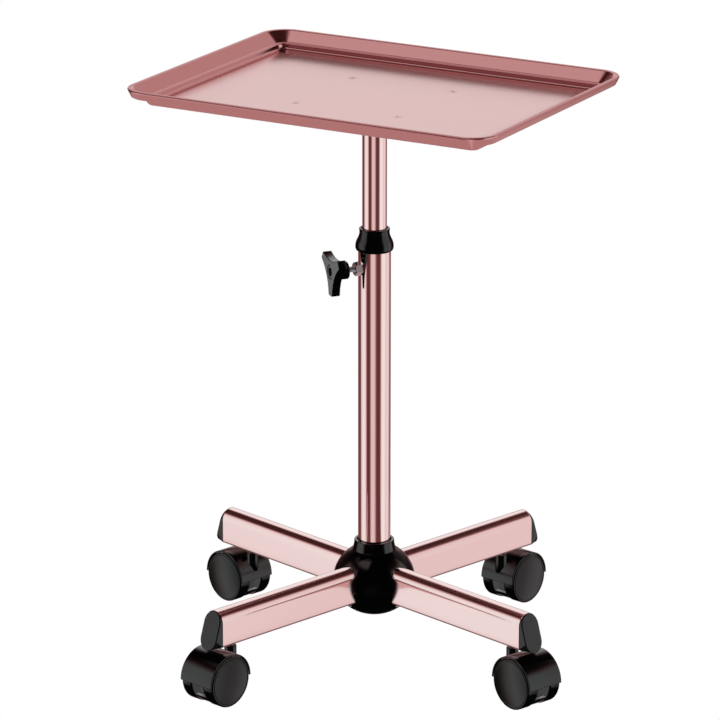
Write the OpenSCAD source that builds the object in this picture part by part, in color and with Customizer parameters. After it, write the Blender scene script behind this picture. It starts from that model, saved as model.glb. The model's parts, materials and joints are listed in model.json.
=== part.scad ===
// Height-adjustable tray table on a four-legged castor base, in millimetres.
// The column axis is Z and the floor is z = 0. The tray is long along X;
// the front is -Y, the right is +X. base_turn turns the whole base about Z.

/* [Tray] */
// Length of the tray over its rim
tray_length = 420; // [340:5:480]
// Width of the tray over its rim
tray_width = 318; // [260:2:360]
// Height of the rim above the floor at the modelled setting
rim_z = 615; // [600:1:640]
// Depth from the rim to the tray floor
tray_depth = 17; // [15:0.5:24]
// Corner radius of the rim, seen from above
tray_corner = 29; // [27:1:45]
// Thickness of the pressed sheet
sheet_t = 1.4; // [1:0.1:2]

/* [Tray bracket] */
// Spacing of the tray screws, both ways
screw_pitch = 118; // [90:2:160]
// Thickness of the bracket arms
arm_t = 4; // [3:0.5:6]
// Width of the bracket arms
arm_width = 22; // [16:1:30]
// Outside diameter of the bracket socket
socket_d = 33.6; // [31:0.2:40]
// How far the socket reaches below the tray
socket_length = 42; // [30:1:60]

/* [Column] */
// Outside diameter of the lower tube
outer_d = 34; // [33:0.5:38]
// Wall of the lower tube
outer_wall = 1.5; // [1:0.1:2]
// Outside diameter of the sliding tube
inner_d = 25.4; // [22:0.2:26]
// Wall of the sliding tube
inner_wall = 1.2; // [1:0.1:2]
// Height of the collar's top face
collar_z = 460; // [440:1:480]
// Height of the lock screw's axis
lock_z = 418; // [400:1:425]
// Direction of the lock screw, seen from above
lock_turn = 231; // [180:1:300]

/* [Base] */
// Direction of the right-hand leg, seen from above
base_turn = -17.14; // [-45:0.01:45]
// Reach of a leg tube from the column axis
leg_reach = 225; // [215:1:260]
// Width of a leg tube
leg_width = 24; // [22:0.5:26]
// Height of a leg tube
leg_height = 38; // [34:0.5:40]
// Height of the leg underside above the floor
leg_z = 60.5; // [60:0.5:64]
// Wall of a leg tube
leg_wall = 1.5; // [1:0.1:2]
// Diameter of the ball-shaped hub
hub_d = 86.4; // [84:0.2:90]
// Stem position along the front and right legs
stem_reach_long = 204.3; // [190:0.1:206]
// Stem position along the back and left legs
stem_reach_short = 190.2; // [185:0.1:206]

/* [Castors] */
// Wheel diameter
wheel_d = 54; // [50:1:54]
// Width of a castor over both wheels
castor_width = 43.6; // [42:0.2:46]
// Gap between the two wheels of a castor
wheel_gap = 17; // [16:0.5:18]
// Offset of the wheel axle from the stem axis
trail = 22; // [20:0.5:22.5]
// Turn of the front castor from its leg
turn_front = 3.8; // [-180:0.1:180]
// Turn of the right castor from its leg
turn_right = -3.9; // [-180:0.1:180]
// Turn of the back castor from its leg
turn_back = 5.3; // [-180:0.1:180]
// Turn of the left castor from its leg
turn_left = -0.9; // [-180:0.1:180]

/* [Hidden] */
$fn = 96;
gap = 0.05;   // radial clearance of a running fit
fit = 0.02;   // clearance of a fixed fit
over = 1;     // how far a cut runs past a face

// heights
tray_z = rim_z - tray_depth;        // top of the tray floor
under_z = tray_z - sheet_t;         // underside of the tray floor
arm_z = under_z - arm_t;            // underside of the bracket arms
socket_z = under_z - socket_length; // lower end of the bracket socket
tube_top = arm_z - 2;               // top of the sliding tube
slide_z = 209;                      // bottom of the sliding tube
column_z = 60;                      // bottom of the lower tube
column_top = collar_z - 13;         // top of the lower tube
hub_z = leg_z + 16;                 // widest level of the hub
sleeve_top = 56.2;                  // top of the castor sleeve

// radii and half widths
socket_r = socket_d / 2;
outer_r = outer_d / 2;
bore_r = outer_r - outer_wall;      // bore of the lower tube
inner_r = inner_d / 2;
hub_r = hub_d / 2;
leg_in = outer_r + 2.6;             // inner end of a leg tube
wheel_r = wheel_d / 2;
hood_r = wheel_r + 2.3;             // outside radius of the castor hood
half_w = castor_width / 2;
half_gap = wheel_gap / 2;

// one entry per leg: front, right, back, left
leg_angle = [-90, 0, 90, 180];
stem_reach = [stem_reach_long, stem_reach_long, stem_reach_short, stem_reach_short];
castor_turn = [turn_front, turn_right, turn_back, turn_left];

rose = [0.86, 0.66, 0.64];
black = [0.10, 0.10, 0.11];
cap_black = [0.16, 0.16, 0.17];
steel = [0.78, 0.78, 0.80];

// ---- shared helpers ---------------------------------------------------

module up(z) { translate([0, 0, z]) children(); }
module turn(angle) { rotate([0, 0, angle]) children(); }

// Cross recess of a screw head, rising from z = 0
module cross_recess(length, width, depth) {
    for (angle = [0, 90])
        turn(angle) translate([-length / 2, -width / 2, 0]) cube([length, width, depth]);
}

// ---- tray -------------------------------------------------------------

floor_inset = 24.1;  // edge of the floor sheet, inward from the rim

// Section of the rim: [inward from the outer edge, height over the rim].
// A rolled bead, a turned-down lip, a sloping flange, a narrow ledge and the
// wall of the well.
rim_section = [
    [3.4, -8.6], [0, -1.7], [0.35, -0.7], [1.0, -0.15], [1.8, 0], [4.1, 0],
    [4.9, -0.15], [5.7, -0.7], [16.2, -10.3], [17.0, -10.8], [18.9, -11.4],
    [19.6, -11.9], [20.1, -12.8],
    [20.8, -tray_depth + 2.4], [21.5, -tray_depth + 1.2],
    [22.6, -tray_depth + 0.4], [24.2, -tray_depth],
    [24.2, -tray_depth - sheet_t], [22.2, -tray_depth - sheet_t + 0.1],
    [20.6, -tray_depth - sheet_t + 0.8], [19.5, -tray_depth - sheet_t + 2.0],
    [18.8, -13.4], [18.3, -12.8], [16.6, -12.2], [15.6, -11.7], [5.0, -2.2],
    [4.0, -1.5], [2.3, -1.5], [1.7, -1.9], [1.6, -2.4], [4.6, -8.2]];

// Rim section with its outer edge at x = edge
module rim_profile(edge) {
    polygon([for (point = rim_section) [edge - point[0], point[1]]]);
}

// Tray outline, drawn in by inset
module tray_outline(inset) {
    for (x = [-1, 1], y = [-1, 1])
        translate([x * (tray_length / 2 - tray_corner), y * (tray_width / 2 - tray_corner)])
            circle(r = tray_corner - inset);
    square([tray_length - 2 * inset, tray_width - 2 * tray_corner], center = true);
    square([tray_length - 2 * tray_corner, tray_width - 2 * inset], center = true);
}

module at_tray_screws() {
    for (x = [-1, 1], y = [-1, 1])
        translate([x * screw_pitch / 2, y * screw_pitch / 2, 0]) children();
}

module tray() {
    // straight lengths of the rim along x and y
    straight = [tray_length - 2 * tray_corner, tray_width - 2 * tray_corner];
    color(rose) difference() {
        union() {
            // rim: each quarter is a side and the rounded corner at its end
            for (quarter = [0:3]) {
                centre = straight[quarter % 2] / 2;
                side = straight[1 - quarter % 2];
                turn(90 * quarter) translate([centre, side / 2, rim_z]) {
                    rotate_extrude(angle = 90) rim_profile(tray_corner);
                    translate([tray_corner, 0, 0]) rotate([90, 0, 0])
                        linear_extrude(side) rim_profile(0);
                }
            }
            // floor of the well
            up(under_z) linear_extrude(sheet_t) tray_outline(floor_inset);
        }
        // countersunk screw holes
        at_tray_screws() {
            up(under_z - over) cylinder(r = tray_hole_r, h = sheet_t + 2 * over);
            up(tray_z - 1.2) cylinder(r1 = 3.4, r2 = 4.7, h = 1.3);
        }
    }
}

// ---- bracket under the tray ------------------------------------------

tray_hole_r = 2.7;                // holes of the tray screws
tray_screw_r = 2.5;               // tray screws and set screw
tray_head_h = 1.15;               // height of a tray screw's head
set_screw_z = socket_z + 15;
arm_reach = screw_pitch / 2 * sqrt(2);  // from the axis to a tray screw

module tray_bracket() {
    flare_r = socket_r + 5;       // socket radius where it meets the arms
    rib_t = 3;
    color(black) difference() {
        union() {
            up(arm_z) linear_extrude(arm_t) {
                circle(r = socket_r + 12);
                for (angle = [45, 135]) rotate(angle) {
                    square([2 * arm_reach, arm_width], center = true);
                    for (side = [-1, 1])
                        translate([side * arm_reach, 0]) circle(r = arm_width / 2);
                }
            }
            // socket with a flared root
            rotate_extrude() polygon([
                [0, socket_z], [socket_r - 0.6, socket_z], [socket_r, socket_z + 0.6],
                [socket_r, arm_z - 7], [socket_r + 1.4, arm_z - 3.4],
                [flare_r, arm_z], [flare_r, under_z - 1], [0, under_z - 1]]);
            // ribs along the underside of the arms
            for (angle = [45:90:315])
                turn(angle) translate([socket_r - 1, -rib_t / 2, arm_z - 5])
                    cube([arm_reach - socket_r - 9, rib_t, 6]);
        }
        up(socket_z - over) cylinder(r = inner_r + fit, h = tube_top - socket_z + over);
        at_tray_screws() up(arm_z - over) cylinder(r = tray_hole_r, h = arm_t + 2 * over);
        // hole of the set screw, at the back
        translate([0, inner_r - 2, set_screw_z]) rotate([-90, 0, 0])
            cylinder(r = tray_screw_r + fit, h = 12);
    }
}

module tray_screws() {
    below = 7;  // shank length below the arms
    color(steel) at_tray_screws() difference() {
        union() {
            up(arm_z - below) cylinder(r = tray_screw_r, h = arm_t + below + sheet_t - 0.4);
            up(tray_z - tray_head_h) cylinder(r1 = 3.3, r2 = 4.45, h = tray_head_h);
        }
        up(tray_z - 0.8) cross_recess(length = 3.8, width = 0.9, depth = 2);
    }
}

module tray_nuts() {
    nut_h = 4;
    color(steel) at_tray_screws() up(arm_z - nut_h) difference() {
        cylinder(r = 4.62, h = nut_h - fit, $fn = 6);
        up(-over) cylinder(r = tray_screw_r + fit, h = nut_h + 2 * over);
    }
}

module bracket_set_screw() {
    color(steel) translate([0, inner_r + fit, set_screw_z]) rotate([-90, 0, 0]) difference() {
        cylinder(r = tray_screw_r, h = 6);
        up(3) cylinder(r = 1.45, h = 4, $fn = 6);
    }
}

// ---- column -----------------------------------------------------------

foot_neck_r = 10;        // hole in the foot of the bush, for the plug's neck

module sliding_tube() {
    length = tube_top - slide_z;
    color(rose) up(slide_z) difference() {
        cylinder(r = inner_r, h = length);
        up(-over) cylinder(r = inner_r - inner_wall, h = length + 2 * over);
    }
}

// Plastic bush on the lower end of the sliding tube; the tube turns in it
module glide_bush() {
    foot_t = 3;          // thickness below the tube
    color("whitesmoke") up(slide_z - foot_t) difference() {
        union() {
            cylinder(r = bore_r - 0.9, h = 26);
            // two bands that run in the lower tube
            for (z = [1, 19]) up(z) cylinder(r = bore_r - gap, h = 6);
        }
        up(foot_t - gap) cylinder(r = inner_r + gap, h = 30);
        up(-over) cylinder(r = foot_neck_r, h = 6);
    }
}

// Plug that is pressed into the tube and holds the bush on from below
module tube_foot_plug() {
    color(black) up(slide_z) union() {
        up(fit) cylinder(r = inner_r - inner_wall - fit, h = 14);
        up(-4) cylinder(r = foot_neck_r - gap, h = 5);
        up(-6.1) cylinder(r = 12.2, h = 3);
    }
}

module lower_tube() {
    length = column_top - column_z;
    color(rose) difference() {
        up(column_z) cylinder(r = outer_r, h = length);
        up(column_z - over) cylinder(r = bore_r, h = length + 2 * over);
        at_lock() cylinder(r = 3.4, h = 40);
    }
}

// Outside of the collar: [radius over the lower tube's, height over its base]
collar_h = 23.5;
collar_section = [
    [1.2, 0], [2.2, 1.0], [2.75, 2.4], [2.8, 5.4], [2.5, 7.6], [1.75, 9.9],
    [0.55, 12.3], [-0.5, 14.4], [-1.15, 16.4], [-1.4, 18.6], [-1.25, 21.2],
    [-0.85, 22.8], [-1.2, 23.3], [-1.8, collar_h]];

// Bell-shaped collar that caps the lower tube and guides the sliding tube
module top_collar() {
    base_z = collar_z - collar_h;
    color(black) difference() {
        rotate_extrude() polygon(concat([[0, base_z]],
            [for (point = collar_section) [outer_r + point[0], base_z + point[1]]],
            [[0, base_z + collar_h]]));
        up(base_z - over) cylinder(r = outer_r + fit, h = column_top - base_z + over);
        up(base_z) cylinder(r = inner_r + gap, h = 40);
        up(collar_z - 2) cylinder(r1 = inner_r + gap, r2 = inner_r + 1.4, h = 2.01);
    }
}

// ---- lock screw and knob ----------------------------------------------

// Stations ending in _at are distances from the column axis.
lock_r = 3;              // radius of the lock screw
lock_tip_at = bore_r - 0.4;
head_at = 40.5;
head_r = 7.3;
head_h = 5;
grip_at = 30.5;          // inner end of the knob
grip_r = 9.25;
grip_bevel = 0.8;
cap_recess_r = 7.4;

// Places children with +Z pointing outward along the lock screw
module at_lock() {
    up(lock_z) turn(lock_turn) rotate([0, 90, 0]) turn(90) children();
}

// Hexagon nut welded to the lower tube
module weld_nut() {
    color(steel) difference() {
        at_lock() turn(45) cylinder(r = 7.5, h = 22.5, $fn = 6);
        at_lock() up(-over) cylinder(r = lock_r + gap, h = 30);
        up(lock_z - 20) cylinder(r = outer_r + 0.01, h = 40);
    }
}

module lock_screw() {
    color(steel) at_lock() union() {
        up(lock_tip_at) cylinder(r = 2.45, h = 3);
        up(bore_r + 2) cylinder(r = lock_r, h = 24);
        up(head_at) cylinder(r = head_r, h = head_h, $fn = 6);
    }
}

// Three-lobed grip with deep hollows between tapering lobes
module lobe_plate(thickness) {
    tip = 26;            // reach of a lobe
    tip_r = 2.2;         // corner radius of a lobe tip
    flat = 2.8;          // half the flat of a lobe tip
    root = flat + 2.1;   // half width of a lobe behind its corners
    hollow_r = 42.67;
    hollow_at = 54.87;   // from the knob axis to a hollow's centre
    lobes = [30, 150, 270];
    difference() {
        linear_extrude(thickness) polygon([
            for (angle = lobes, corner = [
                [tip - tip_r, -root], [tip, -flat], [tip, flat], [tip - tip_r, root]])
            [corner[0] * cos(angle) - corner[1] * sin(angle),
             corner[0] * sin(angle) + corner[1] * cos(angle)]]);
        for (angle = [90, 210, 330])
            turn(angle) translate([hollow_at, 0, -over])
                cylinder(r = hollow_r, h = thickness + 2 * over);
    }
    for (angle = lobes, side = [-1, 1])
        turn(angle) translate([tip - tip_r, side * flat, 0]) cylinder(r = tip_r, h = thickness);
}

module lock_knob() {
    color(black) difference() {
        at_lock() union() {
            up(grip_at) cylinder(r1 = 8.7, r2 = grip_r, h = grip_bevel);
            up(grip_at + grip_bevel) cylinder(r = grip_r, h = 9.5);
            up(40) lobe_plate(9.3);
        }
        at_lock() up(20) cylinder(r = lock_r + fit, h = 25);
        at_lock() up(head_at - fit) cylinder(r = head_r + 0.03, h = head_h + 2 * fit, $fn = 6);
        at_lock() up(head_at + head_h) cylinder(r = cap_recess_r, h = 6);
    }
}

module knob_cap() {
    cap_at = head_at + head_h + gap;
    cap_r = cap_recess_r - gap;
    rim_h = 3.2;         // height of the straight part
    color(cap_black) at_lock() union() {
        up(cap_at) cylinder(r = cap_r, h = rim_h);
        up(cap_at + rim_h) cylinder(r1 = cap_r, r2 = 6.4, h = 0.5);
    }
}

// Pad between the screw tip and the sliding tube
module clamp_pad() {
    pad_at = 10;
    color("gold") difference() {
        at_lock() up(pad_at) cylinder(r = 2.8, h = lock_tip_at - pad_at - fit);
        up(lock_z - 10) cylinder(r = inner_r + gap, h = 20);
    }
}

// ---- hub --------------------------------------------------------------

hub_top = hub_z + 34.1;      // flat top of the hub body
neck_top = hub_z + 44.8;
neck_r = 22.6;               // radius at the root of the neck
bolt_r = 5;
bolt_hole_r = 5.3;
washer_z = 47;
washer_t = 2;
leg_screw_at = 31;           // from the column axis
leg_screw_r = 2;
leg_screw_z = 57;            // top of a leg screw's head recess
recess_z = 20;               // start of the bolt cuts, below the hub
pocket_z = 30;               // start of the leg screw cuts, below the hub

// Leg section standing on y = 0: a round top and small corners at the bottom
module leg_section(width, height, corner_r) {
    translate([0, height - width / 2]) circle(r = width / 2);
    translate([-width / 2, corner_r]) square([width, height - width / 2 - corner_r]);
    translate([-width / 2 + corner_r, 0]) square([width - 2 * corner_r, height / 2]);
    for (side = [-1, 1])
        translate([side * (width / 2 - corner_r), corner_r]) circle(r = corner_r);
}

// Turns +X to the direction of leg i
module at_leg(i) { turn(base_turn + leg_angle[i]) children(); }

// Bar of leg section from start to end along the leg, larger all round by grow
module leg_bar(start, end, grow) {
    translate([start, 0, leg_z - grow]) rotate([90, 0, 90]) linear_extrude(end - start)
        leg_section(leg_width + 2 * grow, leg_height + 2 * grow, 3 + grow);
}

module hub_shell() {
    below = 0.861;           // height of the body relative to a ball, lower part
    above = 0.926;           // and upper part
    color(black) difference() {
        union() {
            // flattened ball
            rotate_extrude() polygon(concat([[0, hub_z - 35.4]],
                [for (angle = [-72:8:56])
                    [hub_r * cos(angle), hub_z + hub_r * sin(angle) * (angle < 0 ? below : above)]],
                [[neck_r, hub_top], [0, hub_top]]));
            // neck around the lower tube
            rotate_extrude() polygon([
                [0, hub_z], [neck_r, hub_z], [neck_r, hub_top], [21.5, hub_z + 38.5],
                [20.9, hub_z + 43.4], [20.4, neck_top], [0, neck_top]]);
        }
        for (i = [0:3]) at_leg(i) leg_bar(leg_in - 0.1, 60, fit);
        up(column_z) cylinder(r = outer_r + fit, h = 100);
        up(neck_top - 2) cylinder(r1 = outer_r + fit, r2 = outer_r + 1.4, h = 2.1);
        // bolt hole and its recess underneath
        up(recess_z) cylinder(r = bolt_hole_r, h = 60);
        up(recess_z) cylinder(r = 13, h = washer_z + washer_t - recess_z);
        // holes of the leg screws
        for (i = [0:3]) at_leg(i) translate([leg_screw_at, 0, pocket_z]) {
            cylinder(r = 2.15, h = 35);
            cylinder(r = 4.2, h = leg_screw_z - pocket_z);
        }
    }
}

module column_plug() {
    color(steel) difference() {
        up(column_z + 0.1) cylinder(r = bore_r - fit, h = 24);
        up(column_z - over) cylinder(r = bolt_r + fit, h = 40);
    }
}

module hub_washer() {
    color(steel) difference() {
        up(washer_z) cylinder(r = 11.5, h = washer_t - fit);
        up(40) cylinder(r = bolt_hole_r, h = 20);
    }
}

module hub_bolt() {
    bolt_head_h = 6;
    color(steel) union() {
        up(washer_z - bolt_head_h) cylinder(r = 9.2, h = bolt_head_h - fit, $fn = 6);
        up(washer_z - 1) cylinder(r = bolt_r, h = 44);
    }
}

module leg_screws() {
    screw_head_h = 3;
    color(steel) for (i = [0:3]) at_leg(i) translate([leg_screw_at, 0, 0]) difference() {
        union() {
            up(leg_screw_z - screw_head_h) cylinder(r = 3.8, h = screw_head_h - fit);
            up(leg_screw_z - 1) cylinder(r = leg_screw_r - fit, h = 12);
        }
        up(leg_screw_z - screw_head_h - over)
            cross_recess(length = 3.6, width = 0.8, depth = 2.4);
    }
}

// ---- legs -------------------------------------------------------------

stem_r = 5;                  // upper part of the stem, in the leg

module leg(i) {
    color(rose) at_leg(i) difference() {
        leg_bar(leg_in, leg_reach, 0);
        leg_bar(leg_in - over, leg_reach + over, -leg_wall);
        translate([stem_reach[i], 0, leg_z - over]) cylinder(r = stem_r + 0.2, h = 4);
        translate([leg_screw_at, 0, leg_z - over]) cylinder(r = leg_screw_r, h = 4);
    }
}

// Plug in the open end of a leg tube, with a slanting oval face
module end_cap(i) {
    start = leg_reach + fit;
    radius = leg_width / 2;
    oval_top = leg_height - 0.5;  // from the leg underside
    oval_bottom = -2.2;
    color(black) at_leg(i) union() {
        intersection() {
            union() {
                leg_bar(start, leg_reach + 3, 0);
                translate([start, 0, leg_z]) rotate([90, 0, 90]) linear_extrude(14) {
                    translate([0, oval_top - radius]) circle(r = radius);
                    translate([0, oval_bottom + radius]) circle(r = radius);
                    translate([-radius, oval_bottom + radius])
                        square([leg_width, oval_top - oval_bottom - leg_width]);
                }
            }
            // slanting outer face
            translate([leg_reach + 12.56, 0, leg_z]) rotate([0, -17.2, 0])
                translate([-60, -30, -20]) cube([60, 60, 90]);
            // slanting underside
            translate([leg_reach, 0, leg_z]) rotate([0, 9.6, 0])
                translate([-20, -30, 0]) cube([60, 60, 60]);
        }
        // insert, kept clear of the stem nut
        leg_bar(max(leg_reach - 12, stem_reach_long + 9.6), leg_reach + 0.5, -leg_wall - fit);
    }
}

// Blocks inside the leg tubes that hold the stems
module stem_nuts() {
    block = [18, 16, 9];
    color(steel) for (i = [0:3])
        at_leg(i) translate([stem_reach[i], 0, leg_z + leg_wall + fit]) difference() {
            translate([-block[0] / 2, -block[1] / 2, 0]) cube(block);
            up(-over) cylinder(r = stem_r + fit, h = 12);
        }
}

// ---- castors ----------------------------------------------------------

pin_r = 4;                   // lower part of the stem, in the sleeve
sleeve_r = 6.3;
sleeve_z = 36.5;             // lower end of the sleeve's straight part
axle_r = 3;
axle_half = half_w - 4;      // half the axle's length

// Frame of a castor: origin under the stem, +X towards the wheel axle
module at_castor(i) {
    at_leg(i) translate([stem_reach[i], 0, 0]) turn(castor_turn[i]) children();
}

module castor_stem(i) {
    collar_base = sleeve_top + 0.4;
    color(steel) at_castor(i) union() {
        up(38.5) cylinder(r = pin_r, h = 19);
        up(collar_base) cylinder(r = 5.6, h = leg_z - collar_base - fit, $fn = 6);
        up(leg_z - 1) cylinder(r = stem_r, h = 15);
    }
}

// Cylinder about the wheel axis, centred between the wheels
module about_axle(radius, half_length) {
    translate([trail, half_length, wheel_r]) rotate([90, 0, 0])
        cylinder(r = radius, h = 2 * half_length);
}

// Large box rising from z, centred on the axle along x
module box_above(width, z) {
    translate([trail - width / 2, -30, z]) cube([width, 60, 60]);
}

module castor_housing(i) {
    block_half = half_gap - 0.4;  // half the width of the block
    pocket = [22, 14.8, 30];
    pocket_at = 27;               // from the axle to a pocket's centre, along x
    taper_h = 3;
    color(black) at_castor(i) difference() {
        union() {
            // hood over both wheels, open below the axle
            difference() {
                about_axle(hood_r, half_w);
                about_axle(hood_r - 1.6, half_w + over);
                translate([trail - 50, -50, wheel_r - 100]) cube([100, 100, 100]);
            }
            // web under the hood
            intersection() {
                about_axle(hood_r - 0.5, 4.5);
                union() {
                    box_above(width = 54, z = wheel_r + 0.5);
                    box_above(width = 30, z = wheel_r - 2);
                }
            }
            // block between the wheels, with a pocket at each end below the hood
            difference() {
                about_axle(wheel_r - 0.9, block_half);
                box_above(width = 120, z = wheel_r - 0.01);
                for (side = [-1, 1])
                    translate([trail + side * pocket_at - pocket[0] / 2, -pocket[1] / 2,
                        wheel_r - 14.3]) cube(pocket);
            }
            about_axle(9, block_half);
            // swivel sleeve
            up(sleeve_z) cylinder(r = sleeve_r, h = sleeve_top - sleeve_z);
            up(sleeve_z - taper_h) cylinder(r1 = 4.4, r2 = sleeve_r, h = taper_h);
        }
        up(38) cylinder(r = pin_r + gap, h = 40);
        about_axle(axle_r + fit, half_w + over);
    }
}

module castor_axle(i) {
    color(steel) at_castor(i) about_axle(axle_r, axle_half);
}

// Section of a wheel: [radius, distance from the castor's middle plane]
wheel_section = [
    [0, half_gap], [9.5, half_gap], [9.5, half_gap + 3.5], [wheel_r - 6, half_gap + 3.5],
    [wheel_r - 4.5, half_gap + 0.2], [wheel_r - 1.2, half_gap],
    [wheel_r - 0.3, half_gap + 0.5], [wheel_r, half_gap + 1.5],
    [wheel_r, half_w - 1.6], [wheel_r - 0.3, half_w - 0.6], [wheel_r - 1.2, half_w - 0.1],
    [wheel_r - 2.2, half_w - 0.1], [wheel_r - 2.6, half_w - 0.6], [wheel_r - 3.0, half_w - 0.1],
    [wheel_r - 6, half_w + 0.35], [wheel_r - 12, half_w + 0.9], [wheel_r - 19, half_w + 1.2],
    [0, half_w + 1.25]];

// Solid wheel with a closed, slightly domed outer face; side 1 is the
// castor's +Y side, -1 its -Y side
module wheel(i, side) {
    color(black) at_castor(i) translate([trail, 0, wheel_r]) rotate([-90 * side, 0, 0])
        difference() {
            rotate_extrude() polygon(wheel_section);
            up(half_gap - over) cylinder(r = axle_r + gap, h = axle_half - half_gap + over + 0.5);
        }
}

tray();
tray_bracket();
tray_screws();
tray_nuts();
bracket_set_screw();
sliding_tube();
glide_bush();
tube_foot_plug();
lower_tube();
top_collar();
weld_nut();
lock_screw();
lock_knob();
knob_cap();
clamp_pad();
hub_shell();
column_plug();
hub_bolt();
hub_washer();
leg(0);  // leg_front
leg(1);  // leg_right
leg(2);  // leg_back
leg(3);  // leg_left
end_cap(0);  // end_cap_front
end_cap(1);  // end_cap_right
end_cap(2);  // end_cap_back
end_cap(3);  // end_cap_left
leg_screws();
stem_nuts();
castor_stem(0);  // castor_stem_front
castor_stem(1);  // castor_stem_right
castor_stem(2);  // castor_stem_back
castor_stem(3);  // castor_stem_left
castor_housing(0);  // castor_housing_front
castor_housing(1);  // castor_housing_right
castor_housing(2);  // castor_housing_back
castor_housing(3);  // castor_housing_left
castor_axle(0);  // castor_axle_front
castor_axle(1);  // castor_axle_right
castor_axle(2);  // castor_axle_back
castor_axle(3);  // castor_axle_left
wheel(0, 1);  // wheel_front_a
wheel(1, 1);  // wheel_right_a
wheel(2, 1);  // wheel_back_a
wheel(3, 1);  // wheel_left_a
wheel(0, -1);  // wheel_front_b
wheel(1, -1);  // wheel_right_b
wheel(2, -1);  // wheel_back_b
wheel(3, -1);  // wheel_left_b
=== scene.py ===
"""Instrument cart: a rimmed tray on a telescopic column with a star-grip lock, a round hub, four
legs and twin-wheel castors. The column stands on the Z axis, the floor is at z = 0 and the tray's
sides run along X and Y. Lengths are in millimetres and angles in degrees unless a comment or
docstring says otherwise; meshes are turned into metres as they are built."""
import functools
import json
import math

import bmesh
import bpy
from mathutils import Matrix, Vector


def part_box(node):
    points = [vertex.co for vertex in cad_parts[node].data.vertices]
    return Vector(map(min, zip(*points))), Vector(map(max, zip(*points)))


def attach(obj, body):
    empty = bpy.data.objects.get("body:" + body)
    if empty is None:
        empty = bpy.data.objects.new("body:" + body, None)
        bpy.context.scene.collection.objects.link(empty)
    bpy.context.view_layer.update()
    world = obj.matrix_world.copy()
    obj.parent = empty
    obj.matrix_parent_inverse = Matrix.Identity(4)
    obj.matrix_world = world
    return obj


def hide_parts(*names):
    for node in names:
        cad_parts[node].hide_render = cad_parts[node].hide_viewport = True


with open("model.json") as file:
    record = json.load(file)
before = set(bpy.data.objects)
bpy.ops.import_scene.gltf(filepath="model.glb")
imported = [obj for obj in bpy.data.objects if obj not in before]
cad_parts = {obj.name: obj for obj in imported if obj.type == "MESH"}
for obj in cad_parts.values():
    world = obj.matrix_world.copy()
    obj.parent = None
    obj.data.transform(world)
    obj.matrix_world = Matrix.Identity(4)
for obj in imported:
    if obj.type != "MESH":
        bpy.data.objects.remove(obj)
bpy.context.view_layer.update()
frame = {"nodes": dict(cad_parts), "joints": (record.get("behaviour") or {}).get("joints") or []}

scene = bpy.context.scene
MM = 0.001
JOINTS = {joint["name"]: joint for joint in frame["joints"]}
LEGS = ["front", "right", "back", "left"]


def z_span(node_name):
    """Lowest and highest level of a CAD piece."""
    low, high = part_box(node_name)
    return low.z / MM, high.z / MM


def half_size(node_name, axis="x"):
    """Half of a CAD piece's extent along an axis."""
    low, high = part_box(node_name)
    return (getattr(high, axis) - getattr(low, axis)) / MM / 2


# ------------------------------------------------------------ driving dimensions
# Tray: a pressed sheet
TRAY_HALF_X, TRAY_HALF_Y = half_size("tray"), half_size("tray", "y")
RIM_Z = z_span("tray")[1]
SCREW_LOW, SCREW_TOP = z_span("tray_screws")
FLOOR_DEPTH = RIM_Z - SCREW_TOP          # from the rim down to the top of the floor
FLOOR_Z = RIM_Z - FLOOR_DEPTH
SHEET = 1.25
TRAY_CORNER = 29.0
SCREW_OFFSET = half_size("tray_screws") - 4.45  # screw axis from the centre, in X and in Y
SCREW_HOLE = 2.7
TRAY_CORNERS = [(side_x, side_y) for side_x in (-1, 1) for side_y in (-1, 1)]

# Column
UPPER_RADIUS, UPPER_WALL = half_size("sliding_tube"), 1.2
UPPER_LOW, UPPER_TOP = z_span("sliding_tube")
OUTER_RADIUS, OUTER_WALL = half_size("lower_tube"), 1.5
OUTER_LOW, OUTER_TOP = z_span("lower_tube")
SOCKET_LOW = z_span("tray_bracket")[0]

# Lock: its own frame has Z outward from the column and Y up
LOCK_AXIS = Vector(JOINTS["knob_turn"]["axis"]).normalized()
LOCK_Z = JOINTS["knob_turn"]["pos_m"][2] / MM
LOCK = Matrix.Translation((0, 0, LOCK_Z)) @ Matrix((
    (-LOCK_AXIS.y, 0, LOCK_AXIS.x, 0),
    (LOCK_AXIS.x, 0, LOCK_AXIS.y, 0),
    (0, 1, 0, 0),
    (0, 0, 0, 1)))

# Legs: each leg's own frame has X outward from the column
SWIVELS = {leg: Vector(JOINTS["castor_swivel_" + leg]["pos_m"]) for leg in LEGS}
LEG_FRAMES = {leg: Matrix.Rotation(math.atan2(at.y, at.x), 4, "Z") for leg, at in SWIVELS.items()}
LEG_LOW, LEG_TOP = z_span("leg_right")
LEG_HEIGHT = LEG_TOP - LEG_LOW
LEG_HALF, LEG_WALL = 12.0, 1.5
LEG_START, LEG_END = 19.6, 225.0         # distances from the column axis
LEG_SCREW_X = 31.0

# Castors: each castor's own frame has Y along the axle and the swivel axis at the origin
TRAIL = 22.0                             # axle from the swivel axis, along X
AXLE_Z = JOINTS["wheel_spin_front_a"]["pos_m"][2] / MM
WHEEL_RADIUS = 27.0
HALF_WIDTH, HALF_GAP = 21.8, 8.5         # outer and inner face of a wheel from the middle
HOOD_RADIUS, HOOD_WALL = 29.3, 1.6
SLEEVE_TOP = 56.2


# ------------------------------------------------------------ outlines
def rotate(x, y, angle):
    """Turns a point about the origin; the angle is in radians."""
    cos, sin = math.cos(angle), math.sin(angle)
    return x * cos - y * sin, x * sin + y * cos


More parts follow.
